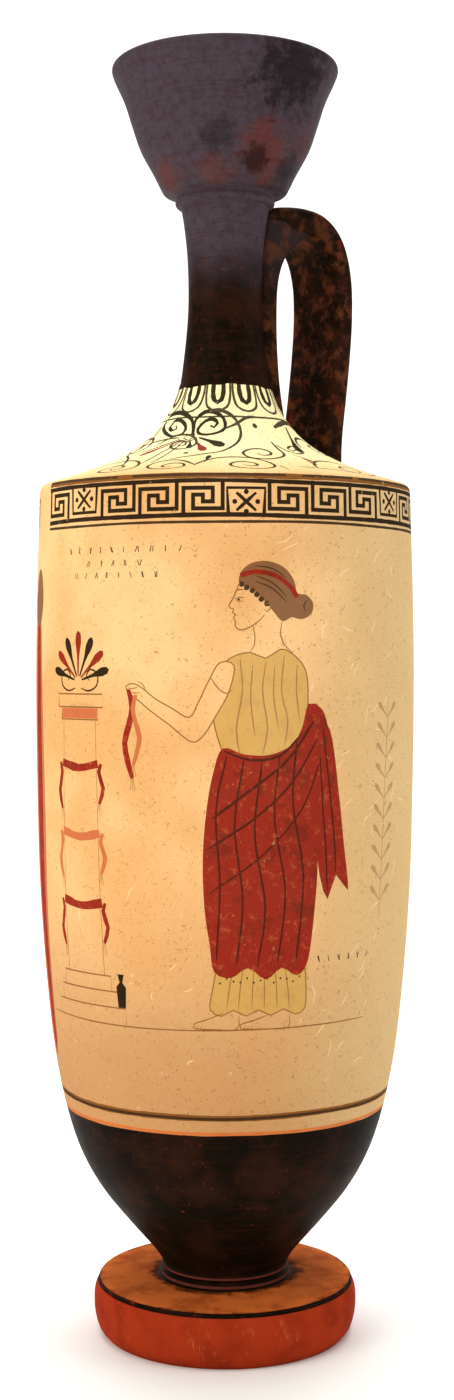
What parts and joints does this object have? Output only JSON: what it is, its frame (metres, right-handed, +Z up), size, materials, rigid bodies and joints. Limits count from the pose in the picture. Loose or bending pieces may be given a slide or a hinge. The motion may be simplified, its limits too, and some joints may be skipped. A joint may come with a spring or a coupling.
{
  "type": "ceramic oil flask",
  "caption": "Tall fired-clay oil flask with a disc foot, tapering cylindrical body, flat shoulder, slim neck, flared mouth and a strap handle.",
  "frame": {"origin": "centre of the foot's underside", "axes": "+Z up along the vessel's axis, +X towards the handle"},
  "size_m": [0.1112, 0.1112, 0.3712],
  "materials": {
    "flask": "cream slip with fine dark painting, black gloss on the mouth, neck, handle, lower body and foot top, bare red clay on the foot's side"
  },
  "bodies": {
    "root": {"flask": "flask"}
  },
  "joints": []
}
